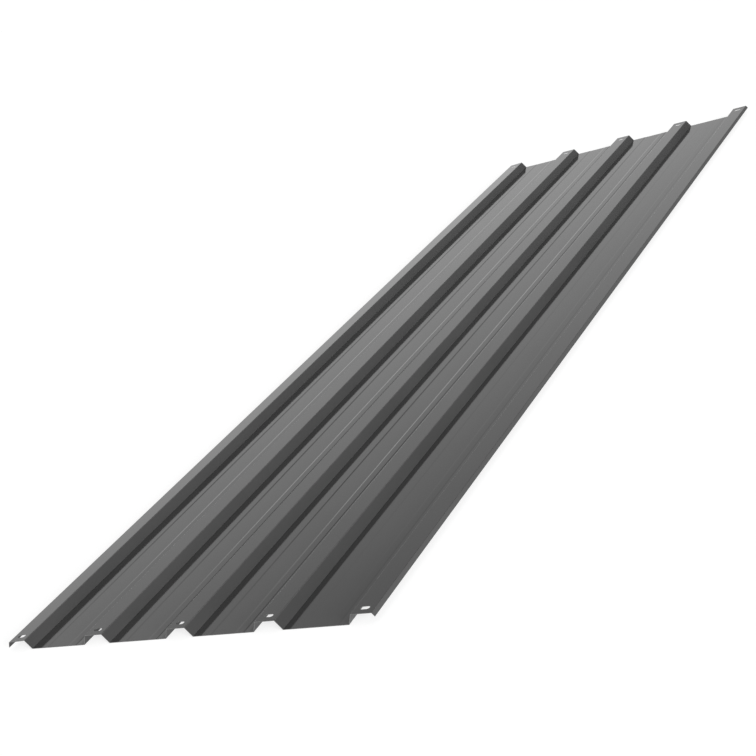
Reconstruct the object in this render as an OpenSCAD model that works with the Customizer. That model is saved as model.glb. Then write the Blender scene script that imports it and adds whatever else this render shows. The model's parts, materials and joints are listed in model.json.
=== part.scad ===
// Ribbed steel roofing sheet that lies flat, with its ribs along Y and its weather face up.
// Origin: on the floor under the middle of the sheet.

/* [Sheet] */
// Length of the sheet along its ribs
sheet_length = 1500; // [300:10:3000]
// Thickness of the steel
sheet_t = 0.5; // [0.3:0.1:1]

/* [Ribs] */
// Number of ribs across the sheet, with the two edge ribs
rib_count = 5; // [2:1:10]
// Distance from the middle of one rib to the middle of the next
rib_pitch = 105.5; // [90:0.5:150]
// Width of the flat crest on top of a rib
crest_w = 22; // [16:0.5:30]
// Sideways run of the sloping web between a crest and a pan
web_run = 5.7; // [3:0.1:9]
// Height of a crest above the pan beside it
rib_h = 10.3; // [7:0.1:20]
// Bend radius, measured at the middle of the sheet's thickness
bend_r = 0.9; // [0.7:0.1:2]
// Drop of the left edge rib's crest from its right side to its left side
left_crest_drop = 0.8; // [0:0.1:2]
// Share of a full web that hangs down along the left edge
left_leg_share = 0.58; // [0.3:0.02:0.9]
// Share of a full web that hangs down along the right edge
right_leg_share = 0.38; // [0.3:0.02:0.9]

/* [Pan strips] */
// Width of the sunk strip along the middle of a pan, at its floor
strip_w = 27; // [15:1:35]
// Sideways run of the step between a pan and its strip
step_run = 2; // [1.5:0.1:4]
// Depth of a strip below its pan
strip_depth = 0.3; // [0.2:0.1:1.2]
// Depth of the strip in the pan beside the right edge, which is pressed less deep
last_strip_depth = 0.1; // [0.1:0.1:0.8]

/* [Fixing slots] */
// Length of a slot, across its crest
slot_len = 10; // [7:0.5:14]
// Width of a slot, along the sheet
slot_w = 5; // [3:0.5:6.5]
// Distance from the middle of a slot to the end of the sheet at -Y
front_slot_dist = 9; // [6:1:40]
// Distance from the middle of a slot to the end of the sheet at +Y
back_slot_dist = 15; // [6:1:40]

/* [Hidden] */
// Largest turn of one flat of a bend, in degrees
bend_flat_angle = 20;
// Heights of the middle of the sheet's thickness in the pans and in the crests
pan_z = max(strip_depth, last_strip_depth) + sheet_t / 2;
crest_z = pan_z + rib_h;
// The unequal edge legs move the ribs off centre, so that the whole sheet is centred
rib_shift = web_run * (left_leg_share - right_leg_share) / 2;
first_rib_x = rib_shift - rib_pitch * (rib_count - 1) / 2;
last_rib = rib_count - 1;

function rib_x(rib) = first_rib_x + rib * rib_pitch;
function pan_strip_depth(pan) = pan == last_rib - 1 ? last_strip_depth : strip_depth;

// Corners of the section before bending, from left to right, as points in X and Z
function crest_corners(rib) = [
    [rib_x(rib) - crest_w / 2, crest_z - (rib == 0 ? left_crest_drop : 0)],
    [rib_x(rib) + crest_w / 2, crest_z]
];
function pan_corners(pan) =
    let (
        middle = rib_x(pan) + rib_pitch / 2,
        base = rib_pitch / 2 - crest_w / 2 - web_run,
        floor_edge = strip_w / 2,
        step_edge = strip_w / 2 + step_run,
        floor_z = pan_z - pan_strip_depth(pan)
    )
    [
        [middle - base, pan_z],
        [middle - step_edge, pan_z],
        [middle - floor_edge, floor_z],
        [middle + floor_edge, floor_z],
        [middle + step_edge, pan_z],
        [middle + base, pan_z]
    ];
function leg_end(crest_corner, side, share) = crest_corner + share * [side * web_run, -rib_h];
corners = [
    leg_end(crest_corners(0)[0], -1, left_leg_share),
    for (rib = [0 : last_rib]) each concat(
        crest_corners(rib),
        rib < last_rib ? pan_corners(rib) : []
    ),
    leg_end(crest_corners(last_rib)[1], 1, right_leg_share)
];

// Directions along the section, and the normals on their left
function direction(from, to) = (to - from) / norm(to - from);
function left_of(dir) = [-dir.y, dir.x];
function turned(dir, angle) = [
    dir.x * cos(angle) - dir.y * sin(angle),
    dir.x * sin(angle) + dir.y * cos(angle)
];

// Points of the bend at one corner, on the surface that is `offset` to the left of the middle
function bend(corner, offset) =
    let (
        arriving = direction(corners[corner - 1], corners[corner]),
        leaving = direction(corners[corner], corners[corner + 1]),
        turn = atan2(cross(arriving, leaving), arriving * leaving),
        flats = max(1, ceil(abs(turn) / bend_flat_angle)),
        start = corners[corner] - arriving * bend_r * tan(abs(turn) / 2),
        centre = start + left_of(arriving) * sign(turn) * bend_r
    )
    [
        for (step = [0 : flats])
            centre + left_of(turned(arriving, turn * step / flats)) * (offset - sign(turn) * bend_r)
    ];

// One surface of the sheet, from the end of its left leg to the end of its right leg
function surface_line(offset) =
    let (last = len(corners) - 1)
    concat(
        [corners[0] + left_of(direction(corners[0], corners[1])) * offset],
        [for (corner = [1 : last - 1]) each bend(corner, offset)],
        [corners[last] + left_of(direction(corners[last - 1], corners[last])) * offset]
    );
function reversed(list) = [for (index = [len(list) - 1 : -1 : 0]) list[index]];

module section() {
    polygon(concat(surface_line(sheet_t / 2), reversed(surface_line(-sheet_t / 2))));
}

// Oblong hole through a crest
module slot() {
    round_offset = (slot_len - slot_w) / 2;
    cube([slot_len - slot_w, slot_w, rib_h], center = true);
    for (side = [-1, 1])
        translate([side * round_offset, 0, 0])
            cylinder(d = slot_w, h = rib_h, center = true, $fn = 48);
}

module ribbed_sheet() {
    back_end = sheet_length / 2;
    slot_rows = [front_slot_dist - back_end, back_end - back_slot_dist];
    color("dimgray")
        difference() {
            translate([0, back_end, 0])
                rotate([90, 0, 0])
                    linear_extrude(height = sheet_length)
                        section();
            for (rib = [0 : last_rib])
                for (slot_y = slot_rows)
                    translate([rib_x(rib), slot_y, crest_z])
                        slot();
        }
}

ribbed_sheet();
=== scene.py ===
"""Dark grey ribbed roofing sheet lying on a white studio floor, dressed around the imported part."""
import json
import math

import bmesh
import bpy
from mathutils import Matrix, Vector


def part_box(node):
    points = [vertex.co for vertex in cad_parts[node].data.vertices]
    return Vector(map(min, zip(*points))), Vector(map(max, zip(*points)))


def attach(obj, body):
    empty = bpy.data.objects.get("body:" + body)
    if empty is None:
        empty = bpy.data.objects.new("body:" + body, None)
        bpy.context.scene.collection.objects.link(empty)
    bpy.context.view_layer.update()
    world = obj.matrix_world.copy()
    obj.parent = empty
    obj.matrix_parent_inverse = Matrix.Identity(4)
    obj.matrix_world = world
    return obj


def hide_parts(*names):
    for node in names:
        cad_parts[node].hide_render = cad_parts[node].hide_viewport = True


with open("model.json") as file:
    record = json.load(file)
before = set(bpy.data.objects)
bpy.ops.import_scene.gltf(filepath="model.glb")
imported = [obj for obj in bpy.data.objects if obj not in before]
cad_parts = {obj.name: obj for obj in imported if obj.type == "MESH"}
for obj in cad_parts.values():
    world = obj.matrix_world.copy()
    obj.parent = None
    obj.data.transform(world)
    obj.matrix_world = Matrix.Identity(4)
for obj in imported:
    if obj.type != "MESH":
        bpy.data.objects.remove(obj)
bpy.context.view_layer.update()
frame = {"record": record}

MM = 0.001
UP = Vector((0, 0, 1))

# Node of the part
NODE = "ribbed_sheet"

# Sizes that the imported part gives
LOW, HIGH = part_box(NODE)
MOUNTS = {mount["name"]: mount for mount in frame["record"]["mounts"]}
INNER_SLOTS = MOUNTS["inner_rib_slots"]
RIB_SHIFT, SLOTS_MIDDLE_Y, CREST_TOP = INNER_SLOTS["pos_m"]
RIB_PITCH = INNER_SLOTS["dims"]["spacing_x_mm"] * MM / 2
SLOT_ROW_DIST = INNER_SLOTS["dims"]["spacing_y_mm"] * MM / 2
SLOT_ROWS = [SLOTS_MIDDLE_Y - SLOT_ROW_DIST, SLOTS_MIDDLE_Y + SLOT_ROW_DIST]
SLOT_R = INNER_SLOTS["dims"]["hole_r_mm"] * MM
SLOT_LENGTH = INNER_SLOTS["dims"]["slot_length_mm"] * MM

# Section of the sheet, in the sizes of the part
RIB_COUNT = 5
LAST_RIB = RIB_COUNT - 1
SHEET_T = 0.5 * MM
CREST_W = 22 * MM
WEB_RUN = 5.7 * MM
RIB_H = 10.3 * MM
LEFT_CREST_DROP = 0.8 * MM
LEFT_LEG_SHARE = 0.58
RIGHT_LEG_SHARE = 0.38
STRIP_W = 27 * MM
STEP_RUN = 2 * MM
CREST_Z = CREST_TOP - SHEET_T / 2
PAN_Z = CREST_Z - RIB_H

# Bends, a little tighter than the part's, because the lines of light along them are thin
BEND_R = 0.5 * MM

# Depths of the sunk strips, which run out towards the two ends of the sheet
STRIP_DEPTH = 0.25 * MM
LAST_STRIP_DEPTH = 0.04 * MM
FRONT_STRIP_SHARE = 0.2
BACK_STRIP_SHARE = 0.55
RUN_OUT = 350 * MM

# Shallow crease along a pan beside the rib on its right, measured from the foot of that rib
CREASE_DIST = 12.6 * MM
CREASE_RUN = 1.5 * MM
CREASE_RISE_RUN = 5 * MM
CREASE_DEPTH = 0.2 * MM
LAST_CREASE_DEPTH = 0.05 * MM
FRONT_CREASE_SHARE = 0.55

# Fineness of the mesh
BEND_FLAT_ANGLE = math.radians(9)
FEWEST_BEND_FLATS = 2
ROW_LENGTH = 30 * MM
SLOT_MARGIN = 3 * MM
SLOT_ARC_STEPS = 12
SHARP_ANGLE = math.radians(35)
FLAT_FACE_WEIGHT = 100

# Faces of the sheet, in the order of its materials
PAINT_FACE, BACK_FACE, CUT_EDGE = range(3)

# Coats of the two faces. Noise has its scale in turns for each metre.
NOISE_SPAN = (0.3, 0.7)
COAT_IOR = 1.5
PAINT = {
    "greys": (0.036, 0.042),
    "mottle": {"scale": 9, "detail": 4},
    "roughness": (0.07, 0.09),
    "smears": {"scale": 14, "detail": 5, "stretch": (1, 0.25, 1)},
    "peel": {"scale": 450, "detail": 2},
    "peel_height": 0.002 * MM,
}
BACK_COAT = {
    "greys": (0.022, 0.030),
    "mottle": {"scale": 12, "detail": 5},
    "roughness": (0.38, 0.5),
    "smears": {"scale": 25, "detail": 5},
    "peel": {"scale": 600, "detail": 2},
    "peel_height": 0.006 * MM,
}

# Cut edges
EDGE_GREYS = (0.16, 0.30)
EDGE_ROUGHNESS = 0.45
DRAG_MARKS = {"scale": 900, "detail": 3, "stretch": (1, 1, 0.15)}

# Floor and backdrop
STUDIO_GREY = 0.3
FLOOR_HALF = 40
FLOOR_DROP = 0.05 * MM
FLOOR_LIFT = 0.8
WALL_TOP = 3.5
WALL_LIFT = 1

# Lamps: a soft one from the front right, and a grazing one square to the ribs
KEY_FROM = Vector((0.85, -0.42, 0.2))
KEY_STRENGTH = 3.35
KEY_ANGLE = math.radians(20)
LOW_FROM = Vector((1, 0, 0.006))
LOW_STRENGTH = 4.3
LOW_ANGLE = math.radians(0.3)

# Surroundings: two gradients along a direction, and a darker skirt close to the horizon
LEFT_WALL = Vector((-0.597, 0.355, -0.718))
LEFT_WALL_SPAN = (0.103, 0.4825)
LEFT_WALL_LEVELS = (0.15, 1.15)
SOFT_SIDE = Vector((0.7, -0.41, 0.58))
SOFT_SIDE_SPAN = (-0.1, 0.6)
SOFT_SIDE_LEVELS = (0.15, 0.7)
SKIRT_SPAN = (0.02, 0.16)
SKIRT_LEVELS = (0.3, 1)

# The photo's camera
PHOTO_SIDE_PX = 756
FOCAL_PX = 1478.5
SENSOR_MM = 36
CAMERA_PLACE = Vector((0.9279, -1.6810, 0.5854))
CAMERA_TARGET = Vector((-0.0615, -0.1696, 0.0008))
CAMERA_ROLL = math.radians(21.5)
CAMERA_REACH = 4 * FLOOR_HALF


# Section of the sheet

def rib_x(rib):
    """Middle of a rib."""
    return RIB_SHIFT + (rib - LAST_RIB / 2) * RIB_PITCH


def crest_corners(rib):
    """Left and right corner of a crest. The first crest slopes down to its left."""
    drop = LEFT_CREST_DROP if rib == 0 else 0
    left = Vector((rib_x(rib) - CREST_W / 2, CREST_Z - drop))
    right = Vector((rib_x(rib) + CREST_W / 2, CREST_Z))
    return [left, right]


def leg_end(crest_corner, side, share):
    """End of the leg that hangs from a corner of an edge rib's crest."""
    return crest_corner + share * Vector((side * WEB_RUN, -RIB_H))


def depth_share(end_share, distance):
    """Share of a relief's depth, which grows smoothly from an end of the sheet to its full depth."""
    part = min(distance / RUN_OUT, 1)
    return end_share + (1 - end_share) * part * part * (3 - 2 * part)


def strip_depth(pan, y):
    """Depth of a pan's strip at one place along the sheet."""
    full = LAST_STRIP_DEPTH if pan == LAST_RIB - 1 else STRIP_DEPTH
    front = depth_share(FRONT_STRIP_SHARE, y - LOW.y)
    back = depth_share(BACK_STRIP_SHARE, HIGH.y - y)
    return full * front * back


def crease_depth(pan, y):
    """Depth of a pan's crease at one place along the sheet."""
    full = LAST_CREASE_DEPTH if pan == LAST_RIB - 1 else CREASE_DEPTH
    return full * depth_share(FRONT_CREASE_SHARE, y - LOW.y)


def pan_corners(pan, y):
    """Corners of a pan with its strip and crease, from left to right, at one place along it."""
    middle = rib_x(pan) + RIB_PITCH / 2
    base = (RIB_PITCH - CREST_W) / 2 - WEB_RUN
    floor_edge = STRIP_W / 2
    step_edge = floor_edge + STEP_RUN
    floor_z = PAN_Z - strip_depth(pan, y)
    crease_start = middle + base - CREASE_DIST
    crease_floor = crease_start + CREASE_RUN
    crease_z = PAN_Z - crease_depth(pan, y)
    return [
        Vector((middle - base, PAN_Z)),
        Vector((middle - step_edge, PAN_Z)),
        Vector((middle - floor_edge, floor_z)),
        Vector((middle + floor_edge, floor_z)),
        Vector((middle + step_edge, PAN_Z)),
        Vector((crease_start, PAN_Z)),
        Vector((crease_floor, crease_z)),
        Vector((crease_floor + CREASE_RISE_RUN, PAN_Z)),
        Vector((middle + base, PAN_Z)),
    ]


def section_corners(y):
    """Corners of the middle of the sheet's thickness before bending, and which start a crest."""
    corners = [leg_end(crest_corners(0)[0], -1, LEFT_LEG_SHARE)]
    crest_starts = []
    for rib in range(RIB_COUNT):
        crest_starts.append(len(corners))
        corners += crest_corners(rib)
        if rib < LAST_RIB:
            corners += pan_corners(rib, y)
    corners.append(leg_end(crest_corners(LAST_RIB)[1], 1, RIGHT_LEG_SHARE))
    return corners, crest_starts


def left_of(direction):
    """Normal on the left of a direction in the section, which is the weather side."""
    return Vector((-direction.y, direction.x))


def bend_points(before, corner, after, offset):
    """Points round one bend, on the surface that lies offset to the left of the middle."""
    arriving = (corner - before).normalized()
    leaving = (after - corner).normalized()
    turn = math.atan2(arriving.cross(leaving), arriving.dot(leaving))
    side = math.copysign(1, turn)
    flats = max(FEWEST_BEND_FLATS, math.ceil(abs(turn) / BEND_FLAT_ANGLE))
    start = corner - arriving * BEND_R * math.tan(abs(turn) / 2)
    centre = start + left_of(arriving) * side * BEND_R
    points = []
    for step in range(flats + 1):
        direction = Matrix.Rotation(turn * step / flats, 2) @ arriving
        points.append(centre + left_of(direction) * (offset - side * BEND_R))
    return points


def surface_line(y, offset):
    """One surface of the section at y, and the index of the point where each flat crest begins."""
    corners, crest_starts = section_corners(y)
    first = (corners[1] - corners[0]).normalized()
    line = [corners[0] + left_of(first) * offset]
    crests = []
    for index in range(1, len(corners) - 1):
        line += bend_points(corners[index - 1], corners[index], corners[index + 1], offset)
        if index in crest_starts:
            crests.append(len(line) - 1)
    last = (corners[-1] - corners[-2]).normalized()
    line.append(corners[-1] + left_of(last) * offset)
    return line, crests


# Mesh of the sheet

def row_places():
    """Places of the mesh's rows: the ends, both sides of each row of slots, and even steps."""
    band = SLOT_R + SLOT_MARGIN
    first = SLOT_ROWS[0] + band
    last = SLOT_ROWS[1] - band
    steps = math.ceil((last - first) / ROW_LENGTH)
    even = [first + (last - first) * step / steps for step in range(steps + 1)]
    return [LOW.y, SLOT_ROWS[0] - band] + even + [SLOT_ROWS[1] + band, HIGH.y]


def surface_row(mesh, y, offset):
    """Vertices across one surface of the sheet."""
    return [mesh.verts.new((point.x, y, point.y)) for point in surface_line(y, offset)[0]]


def add_quad(mesh, vertices, material):
    """One four-sided face of a given material."""
    mesh.faces.new(vertices).material_index = material


def slot_loop(mesh, middle, left, right):
    """Vertices round an oblong slot on the flat from left to right, anticlockwise from above."""
    reach = SLOT_LENGTH / 2 - SLOT_R
    slope = (right.z - left.z) / (right.x - left.x)
    loop = []
    for side, turn in ((1, -math.pi / 2), (-1, math.pi / 2)):
        for step in range(SLOT_ARC_STEPS + 1):
            angle = turn + math.pi * step / SLOT_ARC_STEPS
            x = middle.x + side * reach + SLOT_R * math.cos(angle)
            y = middle.y + SLOT_R * math.sin(angle)
            loop.append(mesh.verts.new((x, y, left.z + slope * (x - left.x))))
    return loop


def ring_edges(mesh, loop):
    """Edges round a closed loop of vertices."""
    edges = []
    for start, end in zip(loop, loop[1:] + loop[:1]):
        edges.append(mesh.edges.get((start, end)) or mesh.edges.new((start, end)))
    return edges


def slotted_patch(mesh, corners, loop, normal, material):
    """Fills the flat between four corners and the loop of a slot."""
    edges = ring_edges(mesh, corners) + ring_edges(mesh, loop)
    filled = bmesh.ops.triangle_fill(mesh, use_beauty=True, edges=edges, normal=normal)
    for face in filled["geom"]:
        if isinstance(face, bmesh.types.BMFace):
            face.material_index = material
            if face.normal.dot(normal) < 0:
                face.normal_flip()


def add_slot(mesh, middle, top_corners, back_corners):
    """One stretch of a crest with a slot through it, and the wall of the slot."""
    rim = slot_loop(mesh, middle, top_corners[0].co, top_corners[1].co)
    foot = slot_loop(mesh, middle, back_corners[0].co, back_corners[-1].co)
    slotted_patch(mesh, top_corners, rim, UP, PAINT_FACE)
    slotted_patch(mesh, back_corners, foot, -UP, BACK_FACE)
    for index in range(len(rim)):
        after = (index + 1) % len(rim)
        add_quad(mesh, [rim[index], rim[after], foot[after], foot[index]], CUT_EDGE)


def fill_sheet(mesh):
    """Both painted faces of the sheet, its cut edges and the walls of its slots."""
    rows = row_places()
    crests = surface_line(rows[0], SHEET_T / 2)[1]
    top = [surface_row(mesh, y, SHEET_T / 2) for y in rows]
    back = [surface_row(mesh, y, -SHEET_T / 2) for y in rows]
    columns = range(len(top[0]) - 1)
    for row in range(len(rows) - 1):
        here, there = top[row], top[row + 1]
        under, beyond = back[row], back[row + 1]
        slots_here = [y for y in SLOT_ROWS if rows[row] < y < rows[row + 1]]
        for column in columns:
            after = column + 1
            top_corners = [here[column], here[after], there[after], there[column]]
            back_corners = [under[column], beyond[column], beyond[after], under[after]]
            if slots_here and column in crests:
                middle = Vector((rib_x(crests.index(column)), slots_here[0]))
                add_slot(mesh, middle, top_corners, back_corners)
            else:
                add_quad(mesh, top_corners, PAINT_FACE)
                add_quad(mesh, back_corners, BACK_FACE)
        add_quad(mesh, [here[0], there[0], beyond[0], under[0]], CUT_EDGE)
        add_quad(mesh, [there[-1], here[-1], under[-1], beyond[-1]], CUT_EDGE)
    for column in columns:
        after = column + 1
        add_quad(mesh, [top[0][after], top[0][column], back[0][column], back[0][after]], CUT_EDGE)
        add_quad(mesh, [top[-1][column], top[-1][after], back[-1][after], back[-1][column]], CUT_EDGE)


def build_sheet():
    """The sheet as one closed mesh, smooth along its bends."""
    mesh = bmesh.new()
    fill_sheet(mesh)
    data = bpy.data.meshes.new("painted_sheet")
    mesh.to_mesh(data)
    mesh.free()
    data.polygons.foreach_set("use_smooth", [True] * len(data.polygons))
    data.set_sharp_from_angle(angle=SHARP_ANGLE)
    piece = bpy.data.objects.new("painted_sheet", data)
    bpy.context.scene.collection.objects.link(piece)
    weighted = piece.modifiers.new("flat_faces", "WEIGHTED_NORMAL")
    weighted.keep_sharp = True
    weighted.weight = FLAT_FACE_WEIGHT
    return piece


# Materials

def grey(value):
    """An opaque grey."""
    return (value, value, value, 1)


class Nodes:
    """The nodes of one material or world, with makers of those that recur."""

    def __init__(self, owner):
        owner.use_nodes = True
        self.tree = owner.node_tree

    def add(self, kind, **settings):
        """A new node with some of its settings."""
        node = self.tree.nodes.new("ShaderNode" + kind)
        for key, value in settings.items():
            setattr(node, key, value)
        return node

    def link(self, value, socket):
        """Leads a value to a socket."""
        self.tree.links.new(value, socket)

    def combined(self, operation, first, second):
        """Two values in one."""
        node = self.add("Math", operation=operation)
        self.link(first, node.inputs[0])
        self.link(second, node.inputs[1])
        return node.outputs["Value"]

    def ranged(self, value, span, levels, **settings):
        """Maps a value from a span to the range between two levels."""
        node = self.add("MapRange", **settings)
        node.inputs["From Min"].default_value, node.inputs["From Max"].default_value = span
        node.inputs["To Min"].default_value, node.inputs["To Max"].default_value = levels
        self.link(value, node.inputs["Value"])
        return node.outputs["Result"]

    def noise(self, scale, detail, stretch=(1, 1, 1)):
        """Noise in the part's own coordinates."""
        place = self.add("TexCoord")
        mapping = self.add("Mapping")
        mapping.inputs["Scale"].default_value = stretch
        texture = self.add("TexNoise")
        texture.inputs["Scale"].default_value = scale
        texture.inputs["Detail"].default_value = detail
        self.link(place.outputs["Object"], mapping.inputs["Vector"])
        self.link(mapping.outputs["Vector"], texture.inputs["Vector"])
        return texture.outputs["Fac"]

    def two_tone(self, value, greys):
        """A colour that noise moves between two greys."""
        node = self.add("Mix", data_type="RGBA")
        node.inputs["A"].default_value = grey(greys[0])
        node.inputs["B"].default_value = grey(greys[1])
        self.link(self.ranged(value, NOISE_SPAN, (0, 1)), node.inputs["Factor"])
        return node.outputs["Result"]

    def bumped(self, value, height):
        """A bump of a real height."""
        node = self.add("Bump")
        node.inputs["Distance"].default_value = height
        self.link(value, node.inputs["Height"])
        return node.outputs["Normal"]


def new_material(name):
    """A material with its nodes and its shader's sockets."""
    material = bpy.data.materials.new(name)
    nodes = Nodes(material)
    return material, nodes, nodes.tree.nodes["Principled BSDF"].inputs


def coat_material(name, greys, mottle, roughness, smears, peel, peel_height):
    """A coat of paint with faint mottle, smears in its gloss and orange peel."""
    material, nodes, sockets = new_material(name)
    nodes.link(nodes.two_tone(nodes.noise(**mottle), greys), sockets["Base Color"])
    gloss = nodes.ranged(nodes.noise(**smears), NOISE_SPAN, roughness)
    nodes.link(gloss, sockets["Roughness"])
    nodes.link(nodes.bumped(nodes.noise(**peel), peel_height), sockets["Normal"])
    sockets["IOR"].default_value = COAT_IOR
    return material


def edge_material():
    """Cut edges: bare zinc-coated steel with the drag marks of the shear."""
    material, nodes, sockets = new_material("sheet_cut_edge")
    nodes.link(nodes.two_tone(nodes.noise(**DRAG_MARKS), EDGE_GREYS), sockets["Base Color"])
    sockets["Metallic"].default_value = 1
    sockets["Roughness"].default_value = EDGE_ROUGHNESS
    return material


def studio_material(name, strength):
    """Pale surface that is lifted towards white for the camera and in reflections."""
    material, nodes, sockets = new_material(name)
    sockets["Base Color"].default_value = grey(STUDIO_GREY)
    sockets["Roughness"].default_value = 1
    sockets["Specular IOR Level"].default_value = 0
    path = nodes.add("LightPath").outputs
    seen = nodes.combined("MAXIMUM", path["Is Camera Ray"], path["Is Glossy Ray"])
    seen = nodes.combined("MAXIMUM", seen, path["Is Transmission Ray"])
    lift = nodes.add("Math", operation="MULTIPLY")
    lift.inputs[1].default_value = strength
    nodes.link(seen, lift.inputs[0])
    sockets["Emission Color"].default_value = grey(1)
    nodes.link(lift.outputs["Value"], sockets["Emission Strength"])
    return material


# Studio

def add_stage_piece(name, corners, faces, material):
    """A flat piece of the studio, which isn't part of the sheet."""
    data = bpy.data.meshes.new(name)
    data.from_pydata(corners, [], faces)
    data.materials.append(material)
    piece = bpy.data.objects.new(name, data)
    bpy.context.scene.collection.objects.link(piece)
    return piece


def add_floor():
    """A plain floor just under the sheet, and low walls that hide its edges and keep no light off."""
    sides = [(-1, -1), (1, -1), (1, 1), (-1, 1)]
    feet = [(x * FLOOR_HALF, y * FLOOR_HALF, -FLOOR_DROP) for x, y in sides]
    tops = [(x * FLOOR_HALF, y * FLOOR_HALF, WALL_TOP) for x, y in sides]
    walls = [(0, 1, 5, 4), (1, 2, 6, 5), (2, 3, 7, 6), (3, 0, 4, 7)]
    floor_white = studio_material("floor_white", FLOOR_LIFT)
    wall_white = studio_material("wall_white", WALL_LIFT)
    add_stage_piece("floor", feet, [(0, 1, 2, 3)], floor_white)
    backdrop = add_stage_piece("backdrop", feet + tops, walls, wall_white)
    backdrop.visible_shadow = False


def add_lamp(name, come_from, strength, angle):
    """A distant lamp that gloss doesn't mirror."""
    light = bpy.data.lights.new(name, "SUN")
    light.energy = strength
    light.angle = angle
    lamp = bpy.data.objects.new(name, light)
    lamp.visible_glossy = False
    lamp.rotation_euler = come_from.to_track_quat("Z", "Y").to_euler()
    bpy.context.scene.collection.objects.link(lamp)


def add_world():
    """Surroundings: white low down on the left, softer on the right, and greyer in between."""
    world = bpy.data.worlds.new("studio")
    nodes = Nodes(world)
    place = nodes.add("TexCoord").outputs["Generated"]

    def gradient(direction, span, levels):
        """Brightness that grows along a direction."""
        along = nodes.add("VectorMath", operation="DOT_PRODUCT")
        along.inputs[1].default_value = direction
        nodes.link(place, along.inputs[0])
        return nodes.ranged(along.outputs["Value"], span, levels)

    left_wall = gradient(LEFT_WALL, LEFT_WALL_SPAN, LEFT_WALL_LEVELS)
    soft_side = gradient(SOFT_SIDE, SOFT_SIDE_SPAN, SOFT_SIDE_LEVELS)
    brighter = nodes.combined("MAXIMUM", left_wall, soft_side)
    parts = nodes.add("SeparateXYZ")
    nodes.link(place, parts.inputs["Vector"])
    height = parts.outputs["Z"]
    skirt = nodes.ranged(height, SKIRT_SPAN, SKIRT_LEVELS, interpolation_type="SMOOTHSTEP")
    shade = nodes.combined("MULTIPLY", brighter, skirt)
    nodes.link(shade, nodes.tree.nodes["Background"].inputs["Color"])
    bpy.context.scene.world = world


def add_camera():
    """The photo's camera, which looks down along the sheet with a tilted horizon."""
    lens = bpy.data.cameras.new("camera")
    lens.sensor_width = SENSOR_MM
    lens.lens = FOCAL_PX / PHOTO_SIDE_PX * SENSOR_MM
    lens.clip_end = CAMERA_REACH
    forward = (CAMERA_TARGET - CAMERA_PLACE).normalized()
    level_right = forward.cross(UP).normalized()
    level_up = level_right.cross(forward)
    right = level_right * math.cos(CAMERA_ROLL) - level_up * math.sin(CAMERA_ROLL)
    up = right.cross(forward)
    turn = Matrix((right, up, -forward)).transposed()
    camera = bpy.data.objects.new("camera", lens)
    camera.matrix_world = Matrix.Translation(CAMERA_PLACE) @ turn.to_4x4()
    bpy.context.scene.collection.objects.link(camera)
    bpy.context.scene.camera = camera


# The scene

sheet = build_sheet()
sheet.data.materials.append(coat_material("sheet_paint", **PAINT))
sheet.data.materials.append(coat_material("sheet_back_coat", **BACK_COAT))
sheet.data.materials.append(edge_material())
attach(sheet, "root")
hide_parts(NODE)

add_floor()
add_lamp("key", KEY_FROM, KEY_STRENGTH, KEY_ANGLE)
add_lamp("low_side", LOW_FROM, LOW_STRENGTH, LOW_ANGLE)
add_world()
add_camera()
bpy.context.scene.view_settings.view_transform = "Standard"
